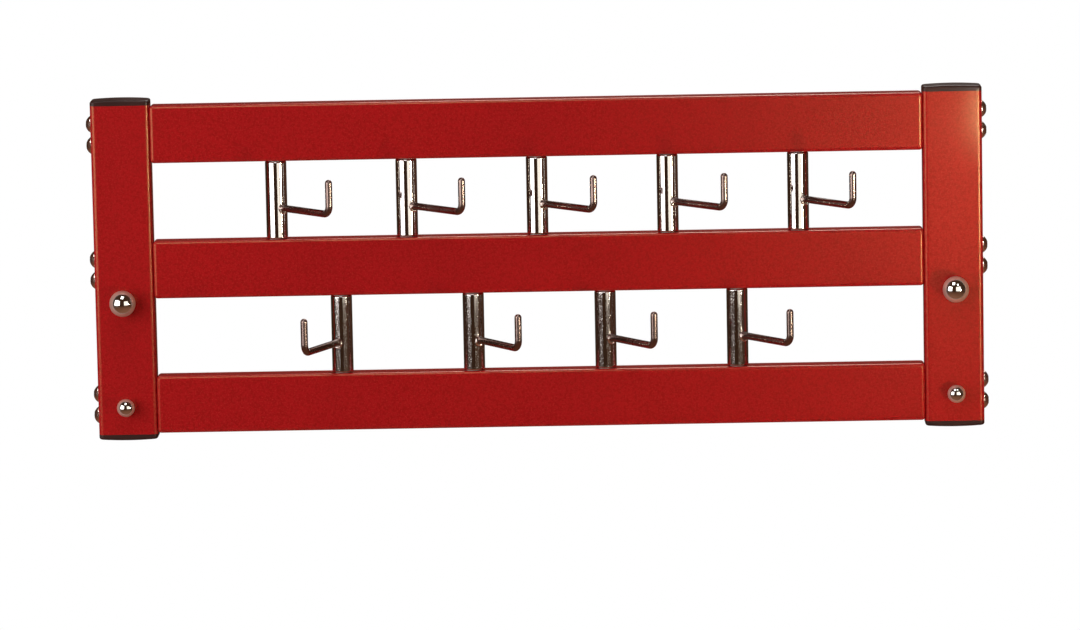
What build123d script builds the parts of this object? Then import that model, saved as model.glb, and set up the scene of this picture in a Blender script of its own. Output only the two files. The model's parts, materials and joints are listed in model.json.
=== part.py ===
from build123d import *
import os

# Wall-mounted rack with swivelling hooks, in millimetres.
# +X runs along the rails, +Y points into the wall and +Z points up.
# The origin is on the wall plane, midway between the two upper wall screws.

# Frame
rack_width = 750.0
frame_height = 280.0
frame_depth = 25.0
post_width = 50.0
post_wall = 2.0
post_corner_radius = 4.0

# Rails, folded from sheet and open towards the wall
rail_height = 48.5
rail_pitch = 115.0
rail_depth = 20.0
rail_sheet = 2.0
rail_bend_radius = 3.0

# Wall screws and the plugs over them, heights above the foot of the frame
upper_fixing_height = 113.5
lower_fixing_height = 24.0
fixing_spacing = 702.0
upper_fixing_hole_radius = 4.25
lower_fixing_hole_radius = 2.25
large_ball_radius = 11.0
small_ball_radius = 7.5
large_stem_radius = 7.2
small_stem_radius = 3.7
stem_clearance = 0.05
stem_length = 5.0
stem_bore_wall = 1.6
ball_sink = 0.8
collar_thickness = 1.0
collar_overlap = 1.5

# Frame screws, M8 button heads through the posts
screw_spacing = 18.0
screw_radius = 4.0
screw_clearance = 0.25
screw_length = 60.0
screw_head_radius = 7.0
screw_head_height = 4.4
screw_head_edge = 0.6
screw_socket_size = 5.0
screw_socket_depth = 2.6
nut_size = 13.0
nut_height = 6.5
nut_clearance = 0.02

# End caps
cap_thickness = 5.0
cap_crown = 1.0
cap_edge_radius = 2.0
cap_plug_depth = 8.0
cap_plug_wall = 1.8
cap_plug_gap = 0.1

# Hook tubes and their pivots
tube_radius = 9.0
tube_wall = 2.5
tube_end_radius = 1.4
upper_tube_pitch = 110.0
lower_tube_pitch = 111.5
upper_tube_count = 5
lower_tube_count = 4
pivot_gap = 0.5
washer_thickness = 0.4
washer_radius = 6.6
washer_clearance = 0.2
plug_length = 14.0
plug_clearance = 0.02
shoulder_radius = 4.0
pivot_clearance = 0.05
pivot_thread_radius = 3.0
pivot_thread_length = 9.0
pivot_head_radius = 6.5
pivot_head_height = 4.0
pivot_head_gap = 0.3
pivot_socket_size = 4.0
pivot_socket_depth = 2.2

# Hook rods
rod_radius = 3.0
arm_height = 26.4
hook_reach = 73.0
bend_radius = 7.0
upright_height = 26.2
weld_radius = 4.6
weld_length = 2.6

# Rest direction of each hook, in degrees about +Z from +X
upper_rest_angles = [-50.0, -49.0, -49.0, -50.0, -53.0]
lower_rest_angles = [-113.0, -58.0, -56.0, -54.0]

# Derived positions
foot_z = -upper_fixing_height
top_z = foot_z + frame_height
front_y = -frame_depth
post_y = -frame_depth / 2
rail_y = front_y + rail_depth / 2
rail_length = rack_width - 2 * post_width
post_x = (rack_width - post_width) / 2
rail_inset = (frame_height - 2 * rail_pitch - rail_height) / 2
first_foot = foot_z + rail_inset
rail_feet = [first_foot, first_foot + rail_pitch, first_foot + 2 * rail_pitch]
gap_height = rail_pitch - rail_height
upper_tube_foot = rail_feet[1] + rail_height
lower_tube_foot = rail_feet[0] + rail_height


def row_positions(count, pitch):
    first = -(count - 1) * pitch / 2
    return [first + index * pitch for index in range(count)]


def screw_heights():
    heights = []
    for rail_foot in rail_feet:
        centre = rail_foot + rail_height / 2
        heights.append(centre - screw_spacing / 2)
        heights.append(centre + screw_spacing / 2)
    return heights


def rod_along_x(x_from, x_to, y, z, radius):
    length = x_to - x_from
    return Pos((x_from + x_to) / 2, y, z) * Rot(0, 90, 0) * Cylinder(radius, length)


def rod_along_y(x, y_from, y_to, z, radius):
    length = y_to - y_from
    return Pos(x, (y_from + y_to) / 2, z) * Rot(90, 0, 0) * Cylinder(radius, length)


def rod_along_z(x, y, z_from, z_to, radius):
    length = z_to - z_from
    return Pos(x, y, (z_from + z_to) / 2) * Cylinder(radius, length)


def upright_prism(width, depth, height, corner_radius):
    outline = RectangleRounded(width, depth, corner_radius)
    return extrude(outline, height)


def post(side):
    x = side * post_x
    fixing_x = side * fixing_spacing / 2
    outer = upright_prism(post_width, frame_depth, frame_height, post_corner_radius)
    inner_width = post_width - 2 * post_wall
    inner_depth = frame_depth - 2 * post_wall
    inner = upright_prism(inner_width, inner_depth, frame_height, post_corner_radius - post_wall)
    body = Pos(x, post_y, foot_z) * (outer - inner)
    for z in screw_heights():
        body -= rod_along_x(x - post_width, x + post_width, rail_y, z, screw_radius + screw_clearance)
    large_z = foot_z + upper_fixing_height
    small_z = foot_z + lower_fixing_height
    front_wall = (front_y - post_wall, front_y + 2 * post_wall)
    back_wall = (-2 * post_wall, post_wall)
    body -= rod_along_y(fixing_x, *front_wall, large_z, large_stem_radius + stem_clearance)
    body -= rod_along_y(fixing_x, *front_wall, small_z, small_stem_radius + stem_clearance)
    body -= rod_along_y(fixing_x, *back_wall, large_z, upper_fixing_hole_radius)
    body -= rod_along_y(fixing_x, *back_wall, small_z, lower_fixing_hole_radius)
    return body


def rail(rail_foot, lower_pivots, upper_pivots):
    centre_z = rail_foot + rail_height / 2
    outer = Pos(0, rail_y, centre_z) * Box(rail_length, rail_depth, rail_height)
    front_edges = outer.edges().group_by(Axis.Y)[0]
    end_edges = outer.edges().filter_by(Axis.Y)
    outer = fillet(front_edges + end_edges, rail_bend_radius)
    inner_length = rail_length - 2 * rail_sheet
    inner_height = rail_height - 2 * rail_sheet
    inner = Pos(0, rail_y + rail_sheet, centre_z) * Box(inner_length, rail_depth, inner_height)
    inner_front = inner.edges().group_by(Axis.Y)[0]
    inner_ends = inner.edges().filter_by(Axis.Y)
    inner = fillet(inner_front + inner_ends, rail_bend_radius - rail_sheet)
    body = outer - inner
    for z in [centre_z - screw_spacing / 2, centre_z + screw_spacing / 2]:
        body -= rod_along_x(-rack_width, rack_width, rail_y, z, screw_radius + screw_clearance)
    hole_radius = shoulder_radius + pivot_clearance
    for x in lower_pivots:
        body -= rod_along_z(x, rail_y, rail_foot - rail_sheet, rail_foot + 2 * rail_sheet, hole_radius)
    rail_top = rail_foot + rail_height
    for x in upper_pivots:
        body -= rod_along_z(x, rail_y, rail_top - 2 * rail_sheet, rail_top + rail_sheet, hole_radius)
    return body


def end_cap():
    plate = upright_prism(post_width, frame_depth, cap_thickness, post_corner_radius)
    crown_radius = (post_width ** 2 / 4 + cap_crown ** 2) / (2 * cap_crown)
    crown = Rot(90, 0, 0) * Cylinder(crown_radius, 2 * frame_depth)
    plate = plate & Pos(0, 0, cap_thickness - crown_radius) * crown
    plate = fillet(plate.faces().sort_by(Axis.Z)[-1].edges(), cap_edge_radius)
    plug_width = post_width - 2 * post_wall - 2 * cap_plug_gap
    plug_size = frame_depth - 2 * post_wall - 2 * cap_plug_gap
    plug_corner = post_corner_radius - post_wall
    plug = upright_prism(plug_width, plug_size, cap_plug_depth, plug_corner)
    hollow_width = plug_width - 2 * cap_plug_wall
    hollow_size = plug_size - 2 * cap_plug_wall
    hollow = upright_prism(hollow_width, hollow_size, cap_plug_depth, plug_corner / 2)
    rib = Pos(0, 0, cap_plug_depth / 2) * Box(cap_plug_wall, hollow_size, cap_plug_depth)
    return plate + Pos(0, 0, -cap_plug_depth) * (plug - hollow + rib)


def top_cap(x):
    return Pos(x, post_y, top_z) * end_cap()


def bottom_cap(x):
    return Pos(x, post_y, foot_z) * Rot(180, 0, 0) * end_cap()


def ball_plug(x, z, ball_radius, stem_radius):
    centre_y = front_y - ball_radius + ball_sink
    ball = Pos(x, centre_y, z) * Sphere(ball_radius)
    ball -= Pos(x, front_y + ball_radius, z) * Box(4 * ball_radius, 2 * ball_radius, 4 * ball_radius)
    collar = rod_along_y(x, front_y - collar_thickness, front_y, z, stem_radius + collar_overlap)
    stem = rod_along_y(x, front_y, front_y + stem_length, z, stem_radius)
    bore = rod_along_y(x, front_y, front_y + stem_length, z, stem_radius - stem_bore_wall)
    return ball + collar + (stem - bore)


def button_screw():
    dome_height = screw_head_height - screw_head_edge
    dome_radius = (screw_head_radius ** 2 + dome_height ** 2) / (2 * dome_height)
    dome = Pos(0, 0, screw_head_height - dome_radius) * Sphere(dome_radius)
    head = rod_along_z(0, 0, 0, screw_head_height, screw_head_radius) & dome
    socket = extrude(RegularPolygon(screw_socket_size / 2, 6, major_radius=False), screw_socket_depth)
    head -= Pos(0, 0, screw_head_height - screw_socket_depth) * socket
    return head + rod_along_z(0, 0, -screw_length, 0, screw_radius)


def frame_screws(side):
    screws = []
    for z in screw_heights():
        screws.append(Pos(side * rack_width / 2, rail_y, z) * Rot(0, side * 90, 0) * button_screw())
    return Compound(children=screws)


def frame_nuts(side):
    nuts = []
    flange_x = rail_length / 2 - rail_sheet - nut_height
    for z in screw_heights():
        nut = extrude(RegularPolygon(nut_size / 2, 6, major_radius=False), nut_height)
        nut -= rod_along_z(0, 0, -nut_height, 2 * nut_height, screw_radius + nut_clearance)
        nuts.append(Pos(side * flange_x, rail_y, z) * Rot(0, side * 90, 0) * nut)
    return Compound(children=nuts)


def washer(x, z_from):
    ring = rod_along_z(x, rail_y, z_from, z_from + washer_thickness, washer_radius)
    hole_radius = shoulder_radius + washer_clearance
    return ring - rod_along_z(x, rail_y, z_from - 1, z_from + washer_thickness + 1, hole_radius)


def pivot_washers(positions, tube_foot):
    washers = []
    for x in positions:
        washers.append(washer(x, tube_foot))
        washers.append(washer(x, tube_foot + gap_height - washer_thickness))
    return Compound(children=washers)


def hook_tube():
    outer = rod_along_z(0, 0, pivot_gap, gap_height - pivot_gap, tube_radius)
    outer = fillet(outer.edges().filter_by(GeomType.CIRCLE), tube_end_radius)
    return outer - rod_along_z(0, 0, 0, gap_height, tube_radius - tube_wall)


def tube_plug():
    plug = rod_along_z(0, 0, pivot_gap, pivot_gap + plug_length, tube_radius - tube_wall - plug_clearance)
    thread_top = pivot_gap + pivot_thread_length
    return plug - rod_along_z(0, 0, 0, thread_top, pivot_thread_radius + plug_clearance)


def pivot_screw():
    head_top = -rail_sheet - pivot_head_gap
    head = rod_along_z(0, 0, head_top - pivot_head_height, head_top, pivot_head_radius)
    socket = extrude(RegularPolygon(pivot_socket_size / 2, 6, major_radius=False), pivot_socket_depth)
    head -= Pos(0, 0, head_top - pivot_head_height) * socket
    shoulder = rod_along_z(0, 0, head_top, pivot_gap, shoulder_radius)
    thread_top = pivot_gap + pivot_thread_length - 1
    return head + shoulder + rod_along_z(0, 0, pivot_gap, thread_top, pivot_thread_radius)


def at_both_ends(piece):
    other_end = Pos(0, 0, gap_height) * Rot(180, 0, 0) * piece
    return Compound(children=[piece, other_end])


def hook_rod():
    arm_end = hook_reach - bend_radius
    arm = Line((0, arm_height), (arm_end, arm_height))
    bend = CenterArc((arm_end, arm_height + bend_radius), bend_radius, -90, 90)
    tip_z = arm_height + upright_height
    upright = Line((hook_reach, arm_height + bend_radius), (hook_reach, tip_z))
    path = Plane.XZ * Wire([arm, bend, upright])
    section = Plane(origin=(0, 0, arm_height), z_dir=(1, 0, 0)) * Circle(rod_radius)
    body = sweep(section, path)
    body += Pos(hook_reach, 0, tip_z) * Sphere(rod_radius)
    weld_centre = tube_radius + weld_length / 2 - 1
    weld = Cone(weld_radius, rod_radius, weld_length + 2)
    body += Pos(weld_centre, 0, arm_height) * Rot(0, 90, 0) * weld
    return body - rod_along_z(0, 0, 0, gap_height, tube_radius)


def save(piece, name):
    piece.label = name
    export_step(piece, f"parts/{name}.step")


def save_hook(name, x, tube_foot, rest_angle):
    place = Pos(x, rail_y, tube_foot) * Rot(0, 0, rest_angle)
    save(place * hook_tube(), f"{name}_tube")
    save(place * hook_rod(), f"{name}_rod")
    save(place * at_both_ends(tube_plug()), f"{name}_plugs")
    save(place * at_both_ends(pivot_screw()), f"{name}_pivots")


os.makedirs("parts", exist_ok=True)

upper_xs = row_positions(upper_tube_count, upper_tube_pitch)
lower_xs = row_positions(lower_tube_count, lower_tube_pitch)
large_ball_z = foot_z + upper_fixing_height
small_ball_z = foot_z + lower_fixing_height

for side_name, side in [("left", -1), ("right", 1)]:
    x = side * post_x
    fixing_x = side * fixing_spacing / 2
    save(post(side), f"{side_name}_post")
    save(top_cap(x), f"{side_name}_top_cap")
    save(bottom_cap(x), f"{side_name}_bottom_cap")
    save(ball_plug(fixing_x, large_ball_z, large_ball_radius, large_stem_radius), f"{side_name}_large_ball")
    save(ball_plug(fixing_x, small_ball_z, small_ball_radius, small_stem_radius), f"{side_name}_small_ball")
    save(frame_screws(side), f"{side_name}_frame_screws")
    save(frame_nuts(side), f"{side_name}_frame_nuts")

save(rail(rail_feet[0], [], lower_xs), "bottom_rail")
save(rail(rail_feet[1], lower_xs, upper_xs), "middle_rail")
save(rail(rail_feet[2], upper_xs, []), "top_rail")
save(pivot_washers(upper_xs, upper_tube_foot), "upper_washers")
save(pivot_washers(lower_xs, lower_tube_foot), "lower_washers")

for index, (x, angle) in enumerate(zip(upper_xs, upper_rest_angles), start=1):
    save_hook(f"upper_{index}", x, upper_tube_foot, angle)

for index, (x, angle) in enumerate(zip(lower_xs, lower_rest_angles), start=1):
    save_hook(f"lower_{index}", x, lower_tube_foot, angle)
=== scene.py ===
import json
import math

import bpy
from mathutils import Matrix, Vector
from mathutils import noise as turbulence


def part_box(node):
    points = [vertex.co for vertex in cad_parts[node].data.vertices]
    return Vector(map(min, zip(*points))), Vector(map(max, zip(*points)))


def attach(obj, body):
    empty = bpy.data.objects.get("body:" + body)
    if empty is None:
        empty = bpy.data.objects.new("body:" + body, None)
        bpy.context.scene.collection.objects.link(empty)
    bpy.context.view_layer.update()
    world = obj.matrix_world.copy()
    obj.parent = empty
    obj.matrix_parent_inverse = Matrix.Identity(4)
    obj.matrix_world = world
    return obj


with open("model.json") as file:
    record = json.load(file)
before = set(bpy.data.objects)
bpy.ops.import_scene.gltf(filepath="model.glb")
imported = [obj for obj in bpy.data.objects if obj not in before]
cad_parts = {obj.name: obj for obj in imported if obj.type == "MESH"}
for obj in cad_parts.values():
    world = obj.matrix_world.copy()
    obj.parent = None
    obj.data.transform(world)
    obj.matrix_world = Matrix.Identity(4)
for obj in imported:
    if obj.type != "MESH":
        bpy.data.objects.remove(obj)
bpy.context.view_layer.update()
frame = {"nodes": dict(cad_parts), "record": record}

# Camera: metres, degrees and millimetres of lens
CAMERA_AT = (0.0727, -5.0, 0.6913)
CAMERA_YAW = 0.83
CAMERA_PITCH = -8.103
CAMERA_ROLL = 1.106
CAMERA_LENS = 198.43
SENSOR_WIDTH = 36.0

FLOOR_Z = -1.0

# Weld beads between rods and tubes
ROD_RADIUS = 0.003
WELD_SEAT = 0.0004
WELD_RING = 0.0032
WELD_THICKNESS = 0.0010
WELD_LUMP = 0.0004
WELD_LUMP_SCALE = 700.0

# Red paint, in linear colour
PAINT_DEEP = (0.385, 0.0052, 0.0098)
PAINT_BRIGHT = (0.42, 0.0062, 0.0098)
PAINT_MOTTLE = (0.27, 0.0014, 0.0040)
PAINT_FLECK = (0.50, 0.024, 0.022)
# Paler orange laid in patches along the rounded edges and bends
PAINT_EDGE_PALE = (0.56, 0.085, 0.060)
PAINT_EDGE_PALE_AMOUNT = 0.16
PAINT_SHEEN = (1.0, 0.83, 0.38)

# Plated parts: linear colour, noise scales per metre, bump distance in metres
# Pinkish rim colour of the balls: a painted reflection of the red paint around them
PAINTED_RIM_REFLECTION = (0.60, 0.34, 0.28)
PLATE_CLOUD_SCALE = 60.0
PLATE_GRAIN_SCALE = 1500.0
PLATE_PIT_SCALE = 1100.0
FINE_BUMP = 0.0001

# Studio: heights and sizes in metres; a place is azimuth in degrees from the front,
# distance and width
LEFT_PLACE = (-50, 2.1, 1.6)
RIGHT_PLACE = (29.7, 1.93, 1.44)
BOX_FOOT = -0.27
RIGHT_BOX_FOOT = -0.272
SKIRT_FOOT = -0.75
WHITE = (1.0, 1.0, 1.0)
WORLD_DARK = (0.055, 0.027, 0.015)
WORLD_FILL = (0.16, 0.153, 0.147)
FLOOR_COLOR = (0.62, 0.58, 0.57)
FLOOR_SIZE = 120.0


def look_matrix(at, yaw, pitch, roll):
    turn = Matrix.Rotation(math.radians(yaw), 4, "Z")
    tip = Matrix.Rotation(math.radians(90 + pitch), 4, "X")
    spin = Matrix.Rotation(math.radians(-roll), 4, "Z")
    return Matrix.Translation(at) @ turn @ tip @ spin


def make_camera():
    data = bpy.data.cameras.new("camera")
    data.lens = CAMERA_LENS
    data.sensor_width = SENSOR_WIDTH
    data.sensor_fit = "HORIZONTAL"
    data.clip_end = 200.0
    camera = bpy.data.objects.new("camera", data)
    bpy.context.scene.collection.objects.link(camera)
    camera.matrix_world = look_matrix(CAMERA_AT, CAMERA_YAW, CAMERA_PITCH, CAMERA_ROLL)
    bpy.context.scene.camera = camera


def new_material(name):
    material = bpy.data.materials.new(name)
    material.use_nodes = True
    tree = material.node_tree
    shader = tree.nodes["Principled BSDF"]
    return material, tree, shader


def add_node(tree, kind, **settings):
    node = tree.nodes.new(kind)
    for key, value in settings.items():
        setattr(node, key, value)
    return node


def object_coords(tree):
    return add_node(tree, "ShaderNodeTexCoord").outputs["Object"]


def noise(tree, coords, scale, detail=3.0, roughness=0.5):
    node = add_node(tree, "ShaderNodeTexNoise")
    node.inputs["Scale"].default_value = scale
    node.inputs["Detail"].default_value = detail
    node.inputs["Roughness"].default_value = roughness
    tree.links.new(coords, node.inputs["Vector"])
    return node.outputs["Fac"]


def ramp(tree, factor, stops):
    node = add_node(tree, "ShaderNodeValToRGB")
    elements = node.color_ramp.elements
    while len(elements) < len(stops):
        elements.new(0.5)
    for element, (position, color) in zip(elements, stops):
        element.position = position
        element.color = (*color, 1.0)
    tree.links.new(factor, node.inputs["Fac"])
    return node.outputs["Color"]


def map_range(tree, factor, low, high, out_low, out_high):
    node = add_node(tree, "ShaderNodeMapRange")
    node.inputs["From Min"].default_value = low
    node.inputs["From Max"].default_value = high
    node.inputs["To Min"].default_value = out_low
    node.inputs["To Max"].default_value = out_high
    tree.links.new(factor, node.inputs["Value"])
    return node.outputs["Result"]


def mix_color(tree, factor, first, second):
    node = add_node(tree, "ShaderNodeMix", data_type="RGBA")
    inputs = [socket for socket in node.inputs if socket.enabled]
    for socket, value in zip(inputs, (factor, first, second)):
        if hasattr(value, "is_output"):
            tree.links.new(value, socket)
        elif isinstance(value, tuple):
            socket.default_value = (*value, 1.0)
        else:
            socket.default_value = value
    return [socket for socket in node.outputs if socket.enabled][0]


def math_node(tree, operation, first, second):
    node = add_node(tree, "ShaderNodeMath", operation=operation)
    for socket, value in zip(node.inputs, (first, second)):
        if hasattr(value, "is_output"):
            tree.links.new(value, socket)
        else:
            socket.default_value = value
    return node.outputs["Value"]


def bump(tree, height, strength, distance, normal=None):
    node = add_node(tree, "ShaderNodeBump")
    node.inputs["Strength"].default_value = strength
    node.inputs["Distance"].default_value = distance
    tree.links.new(height, node.inputs["Height"])
    if normal is not None:
        tree.links.new(normal, node.inputs["Normal"])
    return node.outputs["Normal"]


def edge_mask(tree, flat, rounded):
    """1 on the rounded edges and bends, 0 on the faces square to the axes."""
    normal = add_node(tree, "ShaderNodeTexCoord").outputs["Normal"]
    size = add_node(tree, "ShaderNodeVectorMath", operation="ABSOLUTE")
    tree.links.new(normal, size.inputs[0])
    split = add_node(tree, "ShaderNodeSeparateXYZ")
    tree.links.new(size.outputs[0], split.inputs[0])
    largest = math_node(tree, "MAXIMUM", split.outputs["X"], split.outputs["Y"])
    largest = math_node(tree, "MAXIMUM", largest, split.outputs["Z"])
    return map_range(tree, largest, flat, rounded, 0.0, 1.0)


def red_paint():
    material, tree, shader = new_material("red_paint")
    coords = object_coords(tree)
    broad = noise(tree, coords, 9.0, 3.0)
    mottle = noise(tree, coords, 430.0, 2.0, 0.6)
    fine = noise(tree, coords, 800.0, 2.0)
    peel = noise(tree, coords, 620.0, 2.0, 0.6)
    base = ramp(tree, broad, [(0.3, PAINT_DEEP), (0.7, PAINT_BRIGHT)])
    base = mix_color(tree, map_range(tree, mottle, 0.44, 0.62, 0.0, 0.60), base, PAINT_MOTTLE)
    base = mix_color(tree, map_range(tree, fine, 0.52, 0.68, 0.0, 0.55), base, PAINT_FLECK)
    # Paler orange patches along the rounded edges and bends of the paint
    edge_zone = edge_mask(tree, 0.99, 0.88)
    patchy = map_range(tree, noise(tree, coords, 160.0, 4.0, 0.7), 0.46, 0.60, 0.0, 1.0)
    edge_pale = math_node(tree, "MULTIPLY", math_node(tree, "MULTIPLY", edge_zone, patchy), PAINT_EDGE_PALE_AMOUNT)
    base = mix_color(tree, edge_pale, base, PAINT_EDGE_PALE)
    tree.links.new(base, shader.inputs["Base Color"])
    rough = map_range(tree, mottle, 0.35, 0.65, 0.20, 0.27)
    tree.links.new(rough, shader.inputs["Roughness"])
    tree.links.new(bump(tree, peel, 0.35, 0.0002), shader.inputs["Normal"])
    shader.inputs["Specular IOR Level"].default_value = 0.5
    shader.inputs["Specular Tint"].default_value = (*PAINT_SHEEN, 1.0)
    return material


def chrome(name, tint, rough_low, rough_high, ripple=0.03, pitting=0.0):
    material, tree, shader = new_material(name)
    coords = object_coords(tree)
    cloud = noise(tree, coords, PLATE_CLOUD_SCALE, 3.0)
    grain = noise(tree, coords, PLATE_GRAIN_SCALE, 3.0)
    clouded = map_range(tree, cloud, 0.35, 0.65, 0.0, 1.0)
    color = mix_color(tree, clouded, tint, tuple(0.88 * c for c in tint))
    tree.links.new(color, shader.inputs["Base Color"])
    shader.inputs["Metallic"].default_value = 1.0
    rough = map_range(tree, cloud, 0.3, 0.7, rough_low, rough_high)
    tree.links.new(rough, shader.inputs["Roughness"])
    surface = bump(tree, grain, ripple, FINE_BUMP)
    if pitting:
        pits = map_range(tree, noise(tree, coords, PLATE_PIT_SCALE, 2.0), 0.60, 0.74, 0.0, 1.0)
        surface = bump(tree, pits, pitting, FINE_BUMP, surface)
    tree.links.new(surface, shader.inputs["Normal"])
    return material


def ball_chrome():
    """Chrome with a duller, pinkish rim painted in as a reflection of the red paint; its own
    roughness replaces chrome's.

    The rim's colour and metalness follow the view through Layer Weight, so the rim slides
    with the camera and the exported model loses it.
    """
    material = chrome("ball_chrome", (0.78, 0.74, 0.72), 0.03, 0.06)
    tree = material.node_tree
    shader = tree.nodes["Principled BSDF"]
    # The rim's pinkish colour and lower metalness are a painted reflection, laid on by Layer
    # Weight
    facing = add_node(tree, "ShaderNodeLayerWeight").outputs["Facing"]
    rim = map_range(tree, facing, 0.27, 0.36, 0.0, 1.0)
    plated = shader.inputs["Base Color"].links[0].from_socket
    tree.links.new(mix_color(tree, rim, plated, PAINTED_RIM_REFLECTION), shader.inputs["Base Color"])
    tree.links.new(map_range(tree, rim, 0.0, 1.0, 1.0, 0.35), shader.inputs["Metallic"])
    tree.links.new(map_range(tree, rim, 0.0, 1.0, 0.04, 0.30), shader.inputs["Roughness"])
    return material


def plastic(name, dark, light, rough_low, rough_high, grain_scale, gloss):
    material, tree, shader = new_material(name)
    coords = object_coords(tree)
    cloud = noise(tree, coords, 40.0, 3.0)
    grain = noise(tree, coords, grain_scale, 2.0)
    tree.links.new(ramp(tree, cloud, [(0.3, dark), (0.7, light)]), shader.inputs["Base Color"])
    rough = map_range(tree, grain, 0.3, 0.7, rough_low, rough_high)
    tree.links.new(rough, shader.inputs["Roughness"])
    tree.links.new(bump(tree, grain, 0.25, FINE_BUMP), shader.inputs["Normal"])
    shader.inputs["Specular IOR Level"].default_value = gloss
    return material


def steel(name, tint, rough_low, rough_high):
    material, tree, shader = new_material(name)
    coords = object_coords(tree)
    cloud = noise(tree, coords, 120.0, 4.0)
    color = mix_color(tree, cloud, tint, tuple(0.75 * c for c in tint))
    tree.links.new(color, shader.inputs["Base Color"])
    shader.inputs["Metallic"].default_value = 1.0
    rough = map_range(tree, cloud, 0.3, 0.7, rough_low, rough_high)
    tree.links.new(rough, shader.inputs["Roughness"])
    tree.links.new(bump(tree, noise(tree, coords, 700.0), 0.1, FINE_BUMP), shader.inputs["Normal"])
    return material


def make_materials():
    cap_dark, cap_light = (0.032, 0.012, 0.010), (0.048, 0.019, 0.016)
    nylon_dark, nylon_light = (0.62, 0.60, 0.54), (0.70, 0.68, 0.62)
    return {
        "red_paint": red_paint(),
        "cap_plastic": plastic("cap_plastic", cap_dark, cap_light, 0.26, 0.38, 1400.0, 0.22),
        "ball_chrome": ball_chrome(),
        "screw_chrome": chrome("screw_chrome", (0.88, 0.64, 0.56), 0.20, 0.30),
        "nut_zinc": steel("nut_zinc", (0.62, 0.60, 0.56), 0.25, 0.40),
        "tube_chrome": chrome("tube_chrome", (0.66, 0.62, 0.60), 0.04, 0.08, 0.02, 0.12),
        "rod_chrome": chrome("rod_chrome", (0.29, 0.205, 0.18), 0.20, 0.30, 0.02),
        "plug_steel": steel("plug_steel", (0.50, 0.50, 0.50), 0.30, 0.45),
        "weld_bead": chrome("weld_bead", (0.84, 0.74, 0.69), 0.16, 0.30),
        "pivot_steel": steel("pivot_steel", (0.55, 0.55, 0.56), 0.25, 0.40),
        "washer_nylon": plastic("washer_nylon", nylon_dark, nylon_light, 0.40, 0.55, 900.0, 0.4),
    }


def paint_nodes(materials):
    for entry in frame["record"]["subparts"]:
        piece = frame["nodes"][entry["node"]]
        piece.data.materials.clear()
        piece.data.materials.append(materials[entry["material_slot"]])
        for polygon in piece.data.polygons:
            polygon.material_index = 0


def emission(tree, color):
    node = add_node(tree, "ShaderNodeEmission")
    if isinstance(color, tuple):
        node.inputs["Color"].default_value = (*color, 1.0)
    else:
        tree.links.new(color, node.inputs["Color"])
    return node.outputs["Emission"]


def mix_shader(tree, factor, first, second):
    node = add_node(tree, "ShaderNodeMixShader")
    tree.links.new(factor, node.inputs["Fac"])
    tree.links.new(first, node.inputs[1])
    tree.links.new(second, node.inputs[2])
    return node.outputs["Shader"]


def weld_bead(hook):
    """A lumpy ring of weld where the rod meets the tube."""
    tube_low, tube_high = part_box(f"{hook}_tube")
    rod_low, rod_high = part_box(f"{hook}_rod")
    axis_x = (tube_low[0] + tube_high[0]) / 2
    axis_y = (tube_low[1] + tube_high[1]) / 2
    tube_radius = (tube_high[0] - tube_low[0]) / 2
    if rod_high[0] - axis_x > axis_x - rod_low[0]:
        tip_x = rod_high[0] - ROD_RADIUS
    else:
        tip_x = rod_low[0] + ROD_RADIUS
    tip_y = rod_low[1] + ROD_RADIUS
    outward = Vector((tip_x - axis_x, tip_y - axis_y, 0.0)).normalized()
    seat = Vector((axis_x, axis_y, rod_low[2] + ROD_RADIUS)) + outward * (tube_radius + WELD_SEAT)
    bpy.ops.mesh.primitive_torus_add(
        major_radius=WELD_RING, minor_radius=WELD_THICKNESS, major_segments=40, minor_segments=16
    )
    piece = bpy.context.object
    piece.name = f"{hook}_weld"
    for vertex in piece.data.vertices:
        lump = turbulence.noise(vertex.co * WELD_LUMP_SCALE + seat * 100.0)
        vertex.co += vertex.co.normalized() * lump * WELD_LUMP
    turn = outward.to_track_quat("Z", "Y").to_matrix().to_4x4()
    piece.matrix_world = Matrix.Translation(seat) @ turn
    for polygon in piece.data.polygons:
        polygon.use_smooth = True
    return piece


def make_welds(material):
    for joint in frame["record"]["behaviour"]["joints"]:
        hook = joint["child"].replace("_hook", "")
        piece = weld_bead(hook)
        piece.data.materials.append(material)
        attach(piece, joint["child"])


def make_floor():
    """White to the camera, brown in reflections and a plain pale matt surface otherwise."""
    bpy.ops.mesh.primitive_plane_add(size=FLOOR_SIZE, location=(0, 0, FLOOR_Z))
    floor = bpy.context.object
    floor.name = "floor"
    material, tree, shader = new_material("floor_white")
    shader.inputs["Base Color"].default_value = (*FLOOR_COLOR, 1.0)
    shader.inputs["Roughness"].default_value = 0.9
    shader.inputs["Specular IOR Level"].default_value = 0.0
    coords = object_coords(tree)
    length = add_node(tree, "ShaderNodeVectorMath", operation="LENGTH")
    tree.links.new(coords, length.inputs[0])
    near = map_range(tree, length.outputs["Value"], 0.5, 5.0, 0.0, 1.0)
    browns = [
        (0.0, (0.24, 0.105, 0.060)),
        (0.35, (0.15, 0.066, 0.036)),
        (0.9, (0.046, 0.022, 0.012)),
    ]
    brown = ramp(tree, near, browns)
    split = add_node(tree, "ShaderNodeSeparateXYZ")
    tree.links.new(coords, split.inputs[0])
    rightward = map_range(tree, split.outputs["X"], 3.0, 7.0, 0.0, 1.0)
    brown = mix_color(tree, rightward, brown, (0.085, 0.036, 0.022))
    path = add_node(tree, "ShaderNodeLightPath")
    glossy = path.outputs["Is Glossy Ray"]
    surface = mix_shader(tree, glossy, shader.outputs["BSDF"], emission(tree, brown))
    surface = mix_shader(tree, path.outputs["Is Camera Ray"], surface, emission(tree, WHITE))
    tree.links.new(surface, tree.nodes["Material Output"].inputs["Surface"])
    floor.data.materials.append(material)


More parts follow.
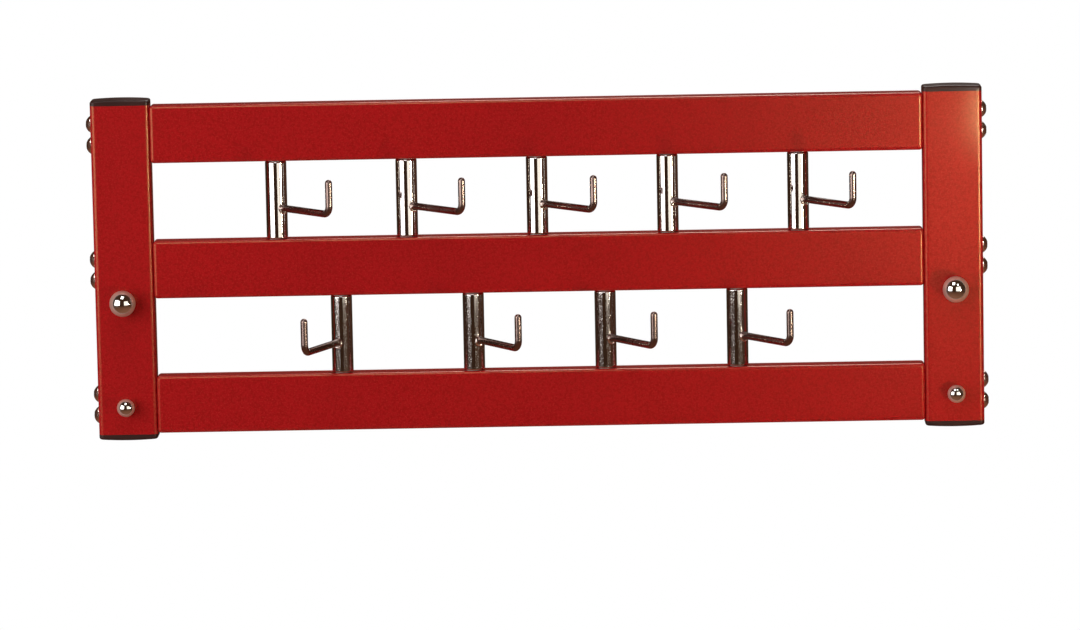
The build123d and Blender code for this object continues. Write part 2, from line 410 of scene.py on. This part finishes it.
def make_world():
    """White to the camera, brown in reflections and a neutral fill for diffuse light."""
    world = bpy.data.worlds.new("studio")
    bpy.context.scene.world = world
    world.use_nodes = True
    tree = world.node_tree
    background = tree.nodes["Background"]
    path = add_node(tree, "ShaderNodeLightPath")
    color = mix_color(tree, path.outputs["Is Diffuse Ray"], WORLD_DARK, WORLD_FILL)
    color = mix_color(tree, path.outputs["Is Camera Ray"], color, WHITE)
    tree.links.new(color, background.inputs["Color"])
    background.inputs["Strength"].default_value = 1.0


def area_light(name, at, target, size, power, color):
    data = bpy.data.lights.new(name, "AREA")
    data.shape = "RECTANGLE"
    data.size, data.size_y = size
    data.energy = power
    data.color = color
    light = bpy.data.objects.new(name, data)
    bpy.context.scene.collection.objects.link(light)
    direction = Vector(target) - Vector(at)
    light.rotation_euler = direction.to_track_quat("-Z", "Y").to_euler()
    light.location = at
    light.visible_camera = False
    return light


def polar(azimuth, distance, z):
    angle = math.radians(azimuth)
    return (distance * math.sin(angle), -distance * math.cos(angle), z)


def level(point):
    return (0.0, 0.0, point[2])


def standing_box(name, azimuth, distance, width, bottom, top, radiance, color):
    at = polar(azimuth, distance, (bottom + top) / 2)
    height = top - bottom
    power = radiance * math.pi * width * height
    return area_light(name, at, level(at), (width, height), power, color)


def make_lights():
    """The studio, placed for the photograph's highlights.

    The right box and the strip light only by reflection, and the key only by diffusion.
    """
    standing_box("left_box", *LEFT_PLACE, BOX_FOOT, 1.20, 4.0, (1.0, 0.985, 0.98))
    standing_box("left_skirt", *LEFT_PLACE, SKIRT_FOOT, BOX_FOOT, 0.08, (1.0, 0.92, 0.88))
    right_color = (1.0, 0.97, 0.86)
    right = standing_box("right_box", *RIGHT_PLACE, RIGHT_BOX_FOOT, 1.05, 1.6, right_color)
    right.visible_diffuse = False
    skirt_color = (1.0, 0.66, 0.44)
    standing_box("right_skirt", *RIGHT_PLACE, SKIRT_FOOT, RIGHT_BOX_FOOT, 0.04, skirt_color)
    middle = (0.0, 0.0, 0.0)
    rack = (0.0, 0.0, 0.03)
    area_light("top_box", (-0.3, -0.95, 1.82), rack, (0.7, 0.9), 10.0, (0.95, 0.98, 1.0))
    area_light("back_box", (0.3, 1.5, 1.7), middle, (1.2, 0.9), 26.0, (1.0, 0.97, 0.95))
    right_post = (0.35, 0.0, 0.0)
    key = area_light("key", (0.87, -0.74, -0.28), right_post, (0.11, 0.11), 4.3, (1.0, 0.78, 0.50))
    key.visible_glossy = False
    right_rails = (0.33, 0.0, 0.06)
    strip_color = (1.0, 0.93, 0.72)
    strip = area_light("strip", (0.94, -0.80, 0.0), right_rails, (0.12, 0.20), 6.5, strip_color)
    strip.visible_diffuse = False
    corner = (0.37, 0.0, 0.13)
    area_light("glow", (0.394, -0.15, 0.134), corner, (0.02, 0.05), 0.070, (0.88, 1.0, 0.92))


make_camera()
materials = make_materials()
paint_nodes(materials)
make_welds(materials["weld_bead"])
make_floor()
make_world()
make_lights()
bpy.context.scene.view_settings.view_transform = "Standard"
